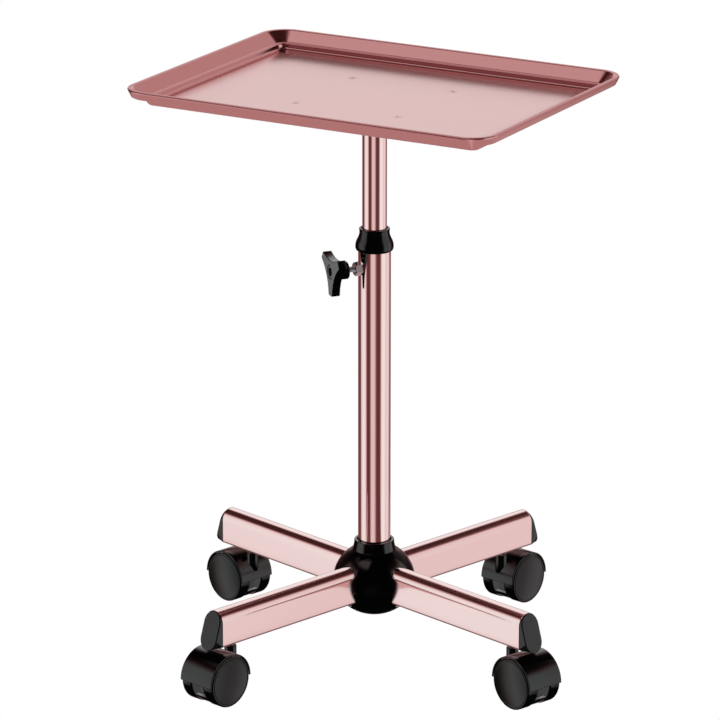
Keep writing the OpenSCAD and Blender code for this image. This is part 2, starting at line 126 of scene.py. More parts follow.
def fillet(points, closed=True, step=12.0):
    """Rounds the corners of an outline of (x, y) or (x, y, radius); step is the arc's finest turn."""
    count, rounded = len(points), []
    for i, point in enumerate(points):
        radius = point[2] if len(point) > 2 else 0.0
        if (not closed and i in (0, count - 1)) or radius <= 0:
            rounded.append((point[0], point[1]))
            continue
        corner = Vector(point[:2])
        back = (Vector(points[(i - 1) % count][:2]) - corner).normalized()
        ahead = (Vector(points[(i + 1) % count][:2]) - corner).normalized()
        angle = math.acos(max(-1.0, min(1.0, back.dot(ahead))))
        if angle > math.pi - 1e-4:
            rounded.append((point[0], point[1]))
            continue
        reach = radius / math.tan(angle / 2)
        first, last = corner + back * reach, corner + ahead * reach
        centre = corner + (back + ahead).normalized() * (radius / math.sin(angle / 2))
        start = math.atan2(first.y - centre.y, first.x - centre.x)
        end = math.atan2(last.y - centre.y, last.x - centre.x)
        sweep = (end - start + math.pi) % (2 * math.pi) - math.pi
        steps = max(2, int(math.ceil(abs(math.degrees(sweep)) / step)))
        for s in range(steps + 1):
            turn = start + sweep * s / steps
            rounded.append((centre.x + radius * math.cos(turn), centre.y + radius * math.sin(turn)))
    clean = []
    for point in rounded:
        if not clean or math.dist(point, clean[-1]) > 1e-4:
            clean.append(point)
    if closed and math.dist(clean[0], clean[-1]) < 1e-4:
        clean.pop()
    return clean


def offset(points, distance, closed=True):
    """Moves an outline to its left (inward for a counter-clockwise loop)."""
    if not distance:
        return points
    count, moved = len(points), []
    for i in range(count):
        here = Vector(points[i])
        before = Vector(points[(i - 1) % count]) if (closed or i > 0) else None
        after = Vector(points[(i + 1) % count]) if (closed or i < count - 1) else None
        arriving = (here - before).normalized() if before is not None else (after - here).normalized()
        leaving = (after - here).normalized() if after is not None else arriving
        left = Vector((-arriving.y, arriving.x)) + Vector((-leaving.y, leaving.x))
        left = left / max(left.dot(left) / 2, 0.5)
        moved.append((here.x + left.x * distance, here.y + left.y * distance))
    return moved


def smooth_line(points, steps):
    """A smooth curve through the points, with a number of steps between each two."""
    curve, last = [], len(points) - 1
    for i in range(last):
        p0, p1, p2, p3 = (Vector(points[min(max(j, 0), last)]) for j in range(i - 1, i + 3))
        for j in range(steps):
            t = j / steps
            point = 0.5 * ((2 * p1) + (p2 - p0) * t + (2 * p0 - 5 * p1 + 4 * p2 - p3) * t * t
                           + (3 * p1 - p0 - 3 * p2 + p3) * t ** 3)
            curve.append((point.x, point.y))
    curve.append(tuple(points[-1]))
    return curve


def counter_clockwise(points):
    count = len(points)
    area = 0.5 * sum(points[i][0] * points[(i + 1) % count][1]
                     - points[(i + 1) % count][0] * points[i][1] for i in range(count))
    return points if area > 0 else points[::-1]


def circle(radius, count, centre_x=0.0, centre_y=0.0):
    return [(centre_x + radius * math.cos(2 * math.pi * k / count),
             centre_y + radius * math.sin(2 * math.pi * k / count)) for k in range(count)]


def hexagon(radius, turn=0.0, rounding=0.0):
    """A hexagon by its corner radius."""
    angles = [math.radians(60 * k + turn) for k in range(6)]
    return fillet([(radius * math.cos(a), radius * math.sin(a), rounding) for a in angles])


# ------------------------------------------------------------ meshes
def shade(ob, sharp=32.0):
    """Smooth shading, with edges above the sharp angle left hard."""
    mesh = ob.data
    mesh.polygons.foreach_set("use_smooth", [True] * len(mesh.polygons))
    mesh.set_sharp_from_angle(angle=math.radians(sharp))
    mesh.update()
    return ob


class Part:
    """A mesh under construction, in millimetres."""

    def __init__(self):
        self.verts, self.faces = [], []

    def ring(self, points):
        start = len(self.verts)
        self.verts += [tuple(point) for point in points]
        return list(range(start, start + len(points)))

    def bridge(self, first, second):
        count = len(first)
        for i in range(count):
            j = (i + 1) % count
            self.faces.append((first[i], first[j], second[j], second[i]))

    def loft(self, rings):
        for first, second in zip(rings, rings[1:]):
            self.bridge(first, second)

    def cap(self, ring, flip=False):
        self.faces.append(tuple(ring[::-1] if flip else ring))

    def fan(self, ring, centre):
        middle = len(self.verts)
        self.verts.append(tuple(centre))
        for i in range(len(ring)):
            self.faces.append((ring[i], ring[(i + 1) % len(ring)], middle))

    def build(self, name, matrix=Matrix.Identity(4), sharp=32.0):
        """Makes a cleaned, shaded object in metres."""
        mesh = bpy.data.meshes.new(name)
        mesh.from_pydata([(matrix @ Vector(v)) * MM for v in self.verts], [], self.faces)
        mesh.update()
        bm = bmesh.new()
        bm.from_mesh(mesh)
        bmesh.ops.remove_doubles(bm, verts=bm.verts, dist=2e-6)
        bmesh.ops.dissolve_degenerate(bm, edges=bm.edges, dist=1e-7)
        bmesh.ops.recalc_face_normals(bm, faces=bm.faces)
        bm.to_mesh(mesh)
        bm.free()
        ob = bpy.data.objects.new(name, mesh)
        scene.collection.objects.link(ob)
        return shade(ob, sharp)

    def piece(self, matrix=Matrix.Identity(4)):
        """A passing object, to be added to or cut from another."""
        return self.build("piece", matrix)


def lathe(profile, segments=128, closed=True):
    """Turns a section of (radius, height) round the Z axis."""
    part, count, rings = Part(), len(profile), []
    for radius, z in profile:
        if radius < 1e-6:
            rings.append(part.ring([(0, 0, z)]))
        else:
            rings.append(part.ring([(x, y, z) for x, y in circle(radius, segments)]))
    for i in range(count if closed else count - 1):
        first, second = rings[i], rings[(i + 1) % count]
        if len(first) == 1 and len(second) == 1:
            continue
        for k in range(segments):
            j = (k + 1) % segments
            if len(first) == 1:
                part.faces.append((first[0], second[j], second[k]))
            elif len(second) == 1:
                part.faces.append((first[k], first[j], second[0]))
            else:
                part.faces.append((first[k], first[j], second[j], second[k]))
    return part


def rod(radius, low, high, segments):
    """A plain cylinder on the Z axis."""
    return lathe([(0, low), (radius, low), (radius, high), (0, high)], segments, closed=False)


def flat(x, y, z):
    """Places an outline level, extruded upwards."""
    return x, y, z


def standing(x, y, z):
    """Places an outline upright in the XZ plane, extruded along Y."""
    return x, z, y


def along_leg(x, y, z):
    """Places a leg section (across, up from the underside) at a distance along X."""
    return z, x, LEG_LOW + y


def prism(outline, low, high, low_edge=0.0, high_edge=0.0, steps=4, place=flat):
    """Extrudes an outline from low to high; the edge values are the radii that round its rims."""
    part, outline = Part(), counter_clockwise(outline)
    quarter = [math.pi / 2 * k / steps for k in range(steps + 1)]
    levels = []                          # (height, inset)
    if low_edge > 0:
        levels += [(low + low_edge * (1 - math.cos(t)), low_edge * (1 - math.sin(t)))
                   for t in quarter[:-1]]
    levels += [(low + low_edge, 0.0), (high - high_edge, 0.0)]
    if high_edge > 0:
        levels += [(high - high_edge * (1 - math.sin(t)), high_edge * (1 - math.cos(t)))
                   for t in quarter[1:]]
    rings = [part.ring([place(x, y, z) for x, y in offset(outline, inset)]) for z, inset in levels]
    part.loft(rings)
    part.cap(rings[0], True)
    part.cap(rings[-1])
    return part


def boolean(ob, others, operation):
    """Combines an object with others in turn, and uses them up."""
    for other in others:
        modifier = ob.modifiers.new("b", "BOOLEAN")
        modifier.operation, modifier.solver, modifier.object = operation, "EXACT", other
        bpy.context.view_layer.update()
        graph = bpy.context.evaluated_depsgraph_get()
        result = bpy.data.meshes.new_from_object(ob.evaluated_get(graph))
        old = ob.data
        ob.modifiers.clear()
        ob.data = result
        bpy.data.meshes.remove(old)
        bpy.data.objects.remove(other)
    return ob


def join(pieces, name, sharp):
    bm = bmesh.new()
    for piece in pieces:
        bm.from_mesh(piece.data)
    mesh = bpy.data.meshes.new(name)
    bm.to_mesh(mesh)
    bm.free()
    for piece in pieces:
        bpy.data.objects.remove(piece)
    ob = bpy.data.objects.new(name, mesh)
    scene.collection.objects.link(ob)
    return shade(ob, sharp)


def fit(ob, body, material, replaced):
    """Gives an object its material and puts it on a moving body in place of a CAD piece."""
    ob.data.materials.clear()
    ob.data.materials.append(material)
    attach(ob, body)
    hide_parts(replaced)
    return ob


# ------------------------------------------------------------ shader helpers
def feed(tree, target, inputs):
    """Fills a node's inputs, each with a value or with the socket that drives it."""
    for name, value in inputs.items():
        if isinstance(value, bpy.types.NodeSocket):
            tree.links.new(value, target.inputs[name])
        else:
            target.inputs[name].default_value = value


def node(tree, kind, inputs={}, **settings):
    made = tree.nodes.new("ShaderNode" + kind)
    for name, value in settings.items():
        setattr(made, name, value)
    feed(tree, made, inputs)
    return made


def maths(tree, operation, *values):
    return node(tree, "Math", dict(enumerate(values)), operation=operation).outputs[0]


def fold(tree, operation, values):
    return functools.reduce(lambda a, b: maths(tree, operation, a, b), values)


def multiply(tree, *values):
    return fold(tree, "MULTIPLY", values)


def vector_maths(tree, operation, inputs):
    return node(tree, "VectorMath", inputs, operation=operation).outputs


def split(tree, vector):
    return node(tree, "SeparateXYZ", {0: vector}).outputs


def geometry(tree):
    return node(tree, "NewGeometry").outputs


def noise(tree, scale, detail, rough, stretch=(1, 1, 1)):
    position = node(tree, "TexCoord").outputs["Object"]
    mapped = node(tree, "Mapping", {"Scale": stretch, "Vector": position}).outputs["Vector"]
    return node(tree, "TexNoise", {"Scale": scale, "Detail": detail, "Roughness": rough,
                                   "Vector": mapped}).outputs["Fac"]


def remap(tree, value, source, target, interpolation="LINEAR"):
    """Maps the source range of a value on to the target range, and clamps it."""
    return node(tree, "MapRange",
                {"From Min": source[0], "From Max": source[1],
                 "To Min": target[0], "To Max": target[1], "Value": value},
                interpolation_type=interpolation).outputs["Result"]


def fade(tree, value, start, end):
    """0 up to start and 1 from end on; start may be the higher of the two."""
    target = (0, 1) if start < end else (1, 0)
    return remap(tree, value, sorted((start, end)), target, "SMOOTHSTEP")


def edges(tree, value, rise_from, rise_to, fall_from, fall_to):
    """The two fades whose product is a soft band."""
    return fade(tree, value, rise_from, rise_to), fade(tree, value, fall_to, fall_from)


def band(tree, value, *limits):
    return multiply(tree, *edges(tree, value, *limits))


def mix(tree, factor, first, second):
    """Mixes two colours, each an (r, g, b) or a socket."""
    first, second = ((*c, 1) if isinstance(c, tuple) else c for c in (first, second))
    return node(tree, "Mix", {6: first, 7: second, 0: factor}, data_type="RGBA").outputs[2]


def curve(tree, value, points):
    """A curve through (position, level) points, with positions from 0 to 1."""
    ramp = node(tree, "ValToRGB", {"Fac": value})
    elements = ramp.color_ramp.elements
    for element, (position, level) in zip((elements[0], elements[1]), (points[0], points[-1])):
        element.position, element.color = position, (level,) * 3 + (1,)
    for position, level in points[1:-1]:
        elements.new(position).color = (level,) * 3 + (1,)
    return ramp.outputs["Color"]


def turn_of(tree, azimuth):
    """An azimuth of -180 to 180 degrees as 0 to 1."""
    return maths(tree, "MULTIPLY_ADD", azimuth, 1 / 360.0, 0.5)


def by_turn(points):
    """The same scale for a table of (azimuth, level)."""
    return [((azimuth + 180) / 360.0, level) for azimuth, level in points]


def heading(tree, vector):
    """Azimuth from the camera's side (positive to its right) and elevation of a direction.
    The studio turns with the camera, so every side of the cart is lit alike."""
    view = node(tree, "VectorTransform", {0: (0.0, 0.0, 1.0)},
                vector_type="VECTOR", convert_from="CAMERA", convert_to="WORLD").outputs[0]
    view = split(tree, view)
    camera_side = maths(tree, "ARCTAN2", maths(tree, "MULTIPLY", view["Y"], -1.0),
                        maths(tree, "MULTIPLY", view["X"], -1.0))
    turned = node(tree, "VectorRotate",
                  {"Angle": maths(tree, "MULTIPLY", camera_side, -1.0), "Vector": vector},
                  rotation_type="Z_AXIS").outputs["Vector"]
    turned = split(tree, turned)
    azimuth = multiply(tree, maths(tree, "ARCTAN2", turned["Y"], turned["X"]), 180 / math.pi)
    elevation = multiply(tree, maths(tree, "ARCSINE", turned["Z"]), 180 / math.pi)
    return azimuth, elevation


def mirrored(tree):
    """Azimuth and elevation of the direction that a face mirrors."""
    face = geometry(tree)
    ray = vector_maths(tree, "SCALE", {"Scale": -1.0, 0: face["Incoming"]})[0]
    return heading(tree, vector_maths(tree, "REFLECT", {0: ray, 1: face["Normal"]})[0])


# How much of the studio a black part mirrors: (azimuth of the mirrored direction, share)
GLINT = [
    (-180, 2.0), (-168, 1.6), (-158, 0.4), (-148, 0.1), (-128, 0.12), (-116, 0.5), (-108, 1.0),
    (-62, 1.0), (-52, 0.04), (54, 0.04), (66, 1.0), (112, 1.0), (122, 0.1), (150, 0.1),
    (162, 1.0), (170, 1.6), (180, 2.0)]
# The same for the wheels
DISC = [
    (-180, 0.4), (-150, 0.2), (-112, 0.02), (-108, 0.06), (-104, 0.2), (-100, 0.5), (-96, 0.75),
    (-92, 0.6), (-88, 0.42), (-80, 0.1), (-70, 0.02), (60, 0.02), (68, 0.4), (74, 0.6),
    (80, 0.66), (84, 0.55), (90, 0.4), (95, 0.38), (100, 0.52), (107, 0.6), (114, 0.3),
    (122, 0.05), (150, 0.05), (180, 0.4)]
OVERHEAD_SHARE = 0.9                     # share of the patch mirrored from above, on the left
BEHIND_CUT = -0.93                       # taken off low directions behind the cart


def mirror_share(tree, table):
    azimuth, elevation = mirrored(tree)
    side = multiply(tree, curve(tree, turn_of(tree, azimuth), by_turn(table)),
                    band(tree, elevation, -38, -25, 40, 62))
    top = multiply(tree, band(tree, azimuth, -96, -78, -36, -18),
                   band(tree, elevation, 36, 50, 72, 86))
    behind = multiply(tree, fade(tree, maths(tree, "ABSOLUTE", azimuth), 112, 128),
                      fade(tree, elevation, 6, -5))
    side = multiply(tree, side, maths(tree, "MULTIPLY_ADD", behind, BEHIND_CUT, 1.0))
    return maths(tree, "MAXIMUM", side, multiply(tree, top, OVERHEAD_SHARE))


# ------------------------------------------------------------ materials
NOISE_RANGE = (0.3, 0.7)                 # the part of a noise that spans the roughness


def new_material(name):
    material = bpy.data.materials.new(name)
    material.use_nodes = True
    tree = material.node_tree
    return material, tree, tree.nodes["Principled BSDF"]


def finish_of(tree, grain, rough, vary, bump, bump_depth):
    """Roughness and normal from a fine grain; bump_depth is in metres."""
    normal = node(tree, "Bump", {"Strength": bump, "Distance": bump_depth, "Height": grain})
    return {"Roughness": remap(tree, grain, NOISE_RANGE, (rough - vary, rough + vary)),
            "Normal": normal.outputs["Normal"]}


def metal(name, colour, rough, vary, bump, grain=900.0, stretch=(1, 1, 1)):
    """grain is the noise scale and stretch its scale on each axis; vary is +/- on the roughness."""
    material, tree, principled = new_material(name)
    fine = noise(tree, scale=grain, detail=2.0, rough=0.6, stretch=stretch)
    wide = noise(tree, scale=14.0, detail=2.0, rough=0.5)
    darker = tuple(c * 0.985 for c in colour)
    feed(tree, principled, {"Metallic": 1.0, "Base Color": mix(tree, wide, darker, colour),
                            **finish_of(tree, fine, rough, vary, bump, bump_depth=0.00002)})
    return material


def plastic(name, colour, rough, vary, bump, share=None, level=0.0):
    """share is a table of what is mirrored by azimuth, and level the specular level it scales."""
    material, tree, principled = new_material(name)
    fine = noise(tree, scale=700.0, detail=3.0, rough=0.6)
    wide = noise(tree, scale=25.0, detail=3.0, rough=0.5)
    lighter = tuple(min(1.0, c * 1.15) for c in colour)
    feed(tree, principled, {"Base Color": mix(tree, wide, colour, lighter), "IOR": 1.5,
                            "Specular Tint": (0.95, 1.0, 1.0, 1.0),
                            **finish_of(tree, fine, rough, vary, bump, bump_depth=0.00004)})
    if share is not None:
        specular = multiply(tree, mirror_share(tree, share), level)
        feed(tree, principled, {"Specular IOR Level": specular})
    return material


def base_of(material):
    """The Base Color input and the socket that drives it."""
    base = material.node_tree.nodes["Principled BSDF"].inputs["Base Color"]
    return base, base.links[0].from_socket


def tint(material, amount, tone):
    """Lays a tone over the base colour, as far as the amount says."""
    tree = material.node_tree
    base, colour = base_of(material)
    tree.links.new(mix(tree, amount, colour, tone), base)


def paint_dimmed_reflections(material, patches):
    """Paints darker reflections into the base colour where a face mirrors patches of (azimuths,
    elevations, tone).
    """
    tree = material.node_tree
    azimuth, elevation = mirrored(tree)
    for (left, right), (low, high), tone in patches:
        sideways = band(tree, azimuth, left - 5, left + 5, right - 5, right + 5)
        upright = band(tree, elevation, low - 3, low + 3, high - 4, high + 4)
        tint(material, multiply(tree, sideways, upright), tone)


def paint_underside_shade(material, tone):
    """Paints shade on faces that look down with another tone, for the camera only."""
    tree = material.node_tree
    base, colour = base_of(material)
    seen = node(tree, "LightPath").outputs["Is Camera Ray"]
    down = remap(tree, split(tree, geometry(tree)["Normal"])["Z"], (-0.34, -0.04), (1.0, 0.0))
    upper = maths(tree, "SUBTRACT", 1.0, multiply(tree, down, seen))
    tree.links.new(mix(tree, upper, tone, colour), base)


def paint_wall_reflection(material, half_x, half_y, width=26.0, most=0.85):
    """Paints the walls' dark red reflection on to the floor, in a strip of the given width beside
    them.
    """
    tree = material.node_tree
    place = split(tree, node(tree, "TexCoord").outputs["Object"])
    nearness = []
    for axis, half in (("X", half_x), ("Y", half_y)):
        past = maths(tree, "SUBTRACT", maths(tree, "ABSOLUTE", place[axis]), (half - width) * MM)
        nearness.append(remap(tree, past, (0.0, width * MM), (0.0, 1.0)))
    level = split(tree, geometry(tree)["Normal"])["Z"]
    near = maths(tree, "POWER", maths(tree, "MAXIMUM", *nearness), 2.2)
    amount = multiply(tree, near, multiply(tree, fade(tree, level, 0.9, 0.98), most))
    # the dark red of the painted wall reflection
    tint(material, amount, (0.40, 0.045, 0.06))


def paint_face_reflection(material, outside_cap=False):
    """Paints a grey reflection on faces that look along the lock's axis; outside_cap leaves a black
    disc on the axis.
    """
    tree, axis = material.node_tree, tuple(JOINTS["knob_turn"]["axis"])
    along = vector_maths(tree, "DOT_PRODUCT", {1: axis, 0: geometry(tree)["Normal"]})["Value"]
    amount = remap(tree, along, (0.8, 0.93), (0.0, 1.0))
    if outside_cap:
        centre = tuple(JOINTS["knob_turn"]["pos_m"])
        arm = vector_maths(tree, "SUBTRACT", {1: centre, 0: geometry(tree)["Position"]})[0]
        across = vector_maths(tree, "CROSS_PRODUCT", {1: axis, 0: arm})[0]
        distance = vector_maths(tree, "LENGTH", {0: across})["Value"]
        disc_edge = (0.0047, 0.0052)     # metres from the axis
        amount = multiply(tree, amount, remap(tree, distance, disc_edge, (0.0, 1.0)))
    # the grey of the painted reflection
    tint(material, amount, (0.34, 0.355, 0.36))


BLACK_TONE, SOFT_BLACK_TONE = (0.0022, 0.0026, 0.0027), (0.0024, 0.0028, 0.0029)
TRAY_SHEET = metal("rose_sheet", (0.69, 0.40, 0.395), rough=0.17, vary=0.02, bump=0.02, grain=600.0)
# painted reflection: the tray's colour is darker where it mirrors these patches of the studio
paint_dimmed_reflections(TRAY_SHEET, [((-112, -45), (10, 44), (0.30, 0.09, 0.10)),
                             ((84, 122), (-8, 12), (0.40, 0.14, 0.14))])
TUBE_METAL = metal("rose_tube", (0.91, 0.73, 0.72), rough=0.06, vary=0.012, bump=0.01,
                   grain=700.0, stretch=(1, 1, 0.15))
LEG_METAL = metal("rose_leg", (0.90, 0.71, 0.70), rough=0.13, vary=0.015, bump=0.01, grain=700.0)
# painted shade: the legs' undersides get a darker tone in their colour
paint_underside_shade(LEG_METAL, (0.16, 0.05, 0.055))
SCREW_METAL = metal("rose_screw", (0.66, 0.385, 0.38), rough=0.17, vary=0.02, bump=0.02)
NICKEL = metal("bright_nickel", (0.60, 0.78, 0.81), rough=0.1, vary=0.03, bump=0.03)
ZINC = metal("zinc_steel", (0.56, 0.57, 0.58), rough=0.3, vary=0.06, bump=0.08)
BRASS = metal("brass", (0.78, 0.58, 0.28), rough=0.25, vary=0.05, bump=0.06)
BLACK = plastic("black_moulded", BLACK_TONE, rough=0.15, vary=0.02, bump=0.02,
                share=GLINT, level=0.62)
COLLAR_BLACK = plastic("black_collar", SOFT_BLACK_TONE, rough=0.2, vary=0.03, bump=0.03,
                       share=GLINT, level=0.55)
CASTOR_BLACK = plastic("black_nylon", BLACK_TONE, rough=0.17, vary=0.02, bump=0.03,
                       share=GLINT, level=0.6)
WHEEL_BLACK = plastic("wheel_nylon", BLACK_TONE, rough=0.16, vary=0.03, bump=0.04,
                      share=DISC, level=0.7)
CAP_BLACK = plastic("end_cap_plastic", (0.015, 0.0165, 0.0168), rough=0.34, vary=0.04, bump=0.06,
                    share=GLINT, level=0.5)
KNOB_BLACK = plastic("knob_plastic", SOFT_BLACK_TONE, rough=0.2, vary=0.04, bump=0.05,
                     share=GLINT, level=0.8)
# painted reflection: the knob's outer faces are greyed in their colour
paint_face_reflection(KNOB_BLACK)
KNOB_CAP_BLACK = plastic("knob_cap_plastic", (0.008, 0.009, 0.0092), rough=0.3, vary=0.05,
                         bump=0.05, share=GLINT, level=0.5)
# painted reflection on the cap's face, outside a black disc
paint_face_reflection(KNOB_CAP_BLACK, outside_cap=True)
NYLON = plastic("natural_nylon", (0.72, 0.71, 0.68), rough=0.45, vary=0.05, bump=0.08)


# ------------------------------------------------------------ tray
def tray_section():
    """The rim from its rolled lip to the underside of the floor, as (inset, height from rim)."""
    # upper face: inset from the outer edge, height from the rim, corner radius
    top = fillet([
        (3.4, -8.6), (-0.838, 0.0, 1.4), (4.93, 0.0, 3.0), (16.62, -10.68, 2.4),
        (19.63, -11.63, 1.7), (21.73, -FLOOR_DEPTH, 3.4), (24.2, -FLOOR_DEPTH)],
        closed=False, step=7.0)
    under = offset(top, -SHEET, closed=False)
    under[-1] = (top[-1][0], -FLOOR_DEPTH - SHEET)
    # half-round nose that closes the lip's free edge
    lip = [(a + b) / 2 for a, b in zip(top[0], under[0])]
    half = Vector((top[0][0] - under[0][0], top[0][1] - under[0][1])) / 2
    down = Vector((-half.y, half.x))
    nose = [(lip[0] - half.x * math.cos(t) + down.x * math.sin(t),
             lip[1] - half.y * math.cos(t) + down.y * math.sin(t))
            for t in [math.pi * k / 6 for k in range(1, 6)]]
    return under[::-1] + nose + top


def tray_outline(inset, steps=20):
    """The tray's rounded rectangle, moved in from the outer edge."""
    radius = TRAY_CORNER - inset
    half_x, half_y = TRAY_HALF_X - TRAY_CORNER, TRAY_HALF_Y - TRAY_CORNER
    points = []
    for quarter, (side_x, side_y) in enumerate([(1, 1), (-1, 1), (-1, -1), (1, -1)]):
        for k in range(steps + 1):
            angle = math.radians(90 * quarter + 90 * k / steps)
            points.append((side_x * half_x + radius * math.cos(angle),
                           side_y * half_y + radius * math.sin(angle)))
    return points


def build_tray():
    part = Part()
    part.loft([part.ring([(x, y, RIM_Z + z) for x, y in tray_outline(inset)])
               for inset, z in tray_section()])
    ob = part.build("tray_sheet", sharp=40)
    # the floor, with four countersunk holes
    bm = bmesh.new()
    bm.from_mesh(ob.data)
    top, bottom = FLOOR_Z * MM, (FLOOR_Z - SHEET) * MM
    seat = top - 1.13 * MM
    hole = [(4.52, top), (4.42, top - 0.12 * MM), (3.38, seat), (SCREW_HOLE, seat),
            (SCREW_HOLE, bottom)]        # (radius, level in metres)
    for side_x, side_y in TRAY_CORNERS:
        centre = (side_x * SCREW_OFFSET, side_y * SCREW_OFFSET)
        rings = [[bm.verts.new((x * MM, y * MM, z)) for x, y in circle(radius, 48, *centre)]
                 for radius, z in hole]
        for first, second in zip(rings, rings[1:]):
            for k in range(48):
                j = (k + 1) % 48
                bm.faces.new((first[k], first[j], second[j], second[k]))
    for z, up in ((top, 1), (bottom, -1)):
        rims = [edge for edge in bm.edges if len(edge.link_faces) == 1
                and all(abs(vert.co.z - z) < 1e-7 for vert in edge.verts)]
        bmesh.ops.triangle_fill(bm, use_beauty=True, use_dissolve=False, edges=rims,
                                normal=(0, 0, up))
    bmesh.ops.recalc_face_normals(bm, faces=bm.faces)
    bm.to_mesh(ob.data)
    bm.free()
    return shade(ob, 40)


tray = build_tray()
WALL_FOOT = 21.5                         # foot of the walls from the outer edge
# painted reflection: the floor's colour takes the walls' dark red beside them
paint_wall_reflection(TRAY_SHEET, TRAY_HALF_X - WALL_FOOT, TRAY_HALF_Y - WALL_FOOT)
fit(tray, "tray_column", TRAY_SHEET, "tray")


def build_tray_screws():
    """Four countersunk screws with cross recesses."""
    top = FLOOR_Z
    # radius, height, corner radius
    profile = fillet([
        (0, top + 0.02), (4.3, top + 0.02, 0.15), (4.42, top - 0.1), (3.32, top - 1.12),
        (2.5, top - 1.14), (2.5, SCREW_LOW + 0.4, 0.3), (2.1, SCREW_LOW), (0, SCREW_LOW)],
        closed=False)
    slot = [(-1.9, -0.42), (1.9, -0.42), (1.9, 0.42), (-1.9, 0.42)]
    screws = []
    for side_x, side_y in TRAY_CORNERS:
        centre_x, centre_y = side_x * SCREW_OFFSET, side_y * SCREW_OFFSET
        screw = lathe(profile, 48, closed=False).piece(
            Matrix.Translation((centre_x, centre_y, 0)))
        for angle in (12 + 31 * side_x, 102 + 31 * side_x):
            turned = [rotate(x, y, math.radians(angle)) for x, y in slot]
            turned = [(x + centre_x, y + centre_y) for x, y in turned]
            boolean(screw, [prism(turned, top - 0.9, top + 1).piece()], "DIFFERENCE")
        screws.append(screw)
    return join(screws, "tray_screw_set", 35)


fit(build_tray_screws(), "tray_column", SCREW_METAL, "tray_screws")


# ------------------------------------------------------------ bracket under the tray
def build_bracket():
    """A socket on the upper tube, with a disc, two crossed arms out to the screws and ribs."""
    top = FLOOR_Z - 1.4
    radius, arm, half_arm = 16.8, 4.0, 11.0  # socket radius, arm thickness, half its width
    reach = SCREW_OFFSET * math.sqrt(2)
    profile = fillet([
        (0, SOCKET_LOW), (radius, SOCKET_LOW, 0.9), (radius, top - arm - 7, 8.0),
        (radius + 5.5, top - arm + 0.2), (radius + 5.5, top - 1.2), (0, top - 1.2)],
        closed=False, step=8)
    ob = lathe(profile, 128, closed=False).build("tray_bracket_cast")
    ends = half_arm - 0.01
    strip = fillet([
        (-reach - half_arm, -half_arm, ends), (reach + half_arm, -half_arm, ends),
        (reach + half_arm, half_arm, ends), (-reach - half_arm, half_arm, ends)], step=6)
    additions = [prism(strip, top - arm, top, 0.8, 0.0, 3).piece(
        Matrix.Rotation(math.radians(angle), 4, "Z")) for angle in (45, 135)]
    additions.append(prism(circle(radius + 12, 128), top - arm, top, 0.8, 0.0, 3).piece())
    rib = fillet([
        (radius - 1, top - arm - 5), (reach - 14, top - arm - 5, 4.0),
        (reach - 8, top - arm + 1), (radius - 1, top - arm + 1)])
    for angle in (45, 135, 225, 315):
        additions.append(prism(rib, -1.5, 1.5, 0.5, 0.5, 3, place=standing).piece(
            Matrix.Rotation(math.radians(angle), 4, "Z")))
    boolean(ob, additions, "UNION")
    cuts = [rod(UPPER_RADIUS + 0.02, SOCKET_LOW - 1, UPPER_TOP, 128).piece()]
    for side_x, side_y in TRAY_CORNERS:
        hole = circle(SCREW_HOLE, 40, side_x * SCREW_OFFSET, side_y * SCREW_OFFSET)
        cuts.append(prism(hole, top - arm - 1, top + 1).piece())
    # set screw hole, on the +Y side
    cuts.append(prism(circle(2.52, 40, 0, SOCKET_LOW + 15), UPPER_RADIUS - 2, UPPER_RADIUS + 10,
                      place=standing).piece())
    boolean(ob, cuts, "DIFFERENCE")
    return shade(ob, 35)


fit(build_bracket(), "tray_column", BLACK, "tray_bracket")


# ------------------------------------------------------------ column
def build_tube(name, radius, wall, low, top):
    return lathe(fillet([(radius, low, 0.3), (radius, top, 0.3),
                         (radius - wall, top, 0.3), (radius - wall, low, 0.3)]), 192).build(name)


upper_tube = build_tube("upper_tube", UPPER_RADIUS, UPPER_WALL, UPPER_LOW, UPPER_TOP)
fit(upper_tube, "tray_column", TUBE_METAL, "sliding_tube")

outer_tube = build_tube("outer_tube", OUTER_RADIUS, OUTER_WALL, OUTER_LOW, OUTER_TOP)
boolean(outer_tube, [prism(circle(3.4, 48), 5, 40).piece(LOCK)], "DIFFERENCE")
shade(outer_tube)
fit(outer_tube, "base", TUBE_METAL, "lower_tube")

# radius, height above the collar's lower edge
COLLAR_SIDE = [
    (18.2, 0.0), (19.25, 1.0), (19.75, 2.7), (19.8, 5.2), (19.45, 7.7), (18.7, 10.0),
    (17.6, 12.4), (16.6, 14.5), (15.95, 16.6), (15.65, 18.8), (15.72, 21.0), (15.95, 22.5)]


def build_collar():
    """The flared collar on the outer tube, stepped in to the upper tube above its end."""
    low, top = z_span("top_collar")
    widest = half_size("top_collar")
    bore, seat = UPPER_RADIUS + 0.07, OUTER_TOP + 0.05
    profile = [(OUTER_RADIUS + 0.02, low)]
    profile += smooth_line([(min(x, widest), low + y) for x, y in COLLAR_SIDE], 6)
    profile += fillet([
        (15.95, low + 22.5), (16.1, top, 0.75), (bore + 1.15, top, 0.25),
        (bore, top - 1.9, 0.5), (bore, seat)], closed=False, step=9)[1:]
    profile += [(OUTER_RADIUS + 0.02, seat)]
    return lathe(profile, 160).build("tube_collar", sharp=40)


fit(build_collar(), "base", COLLAR_BLACK, "top_collar")


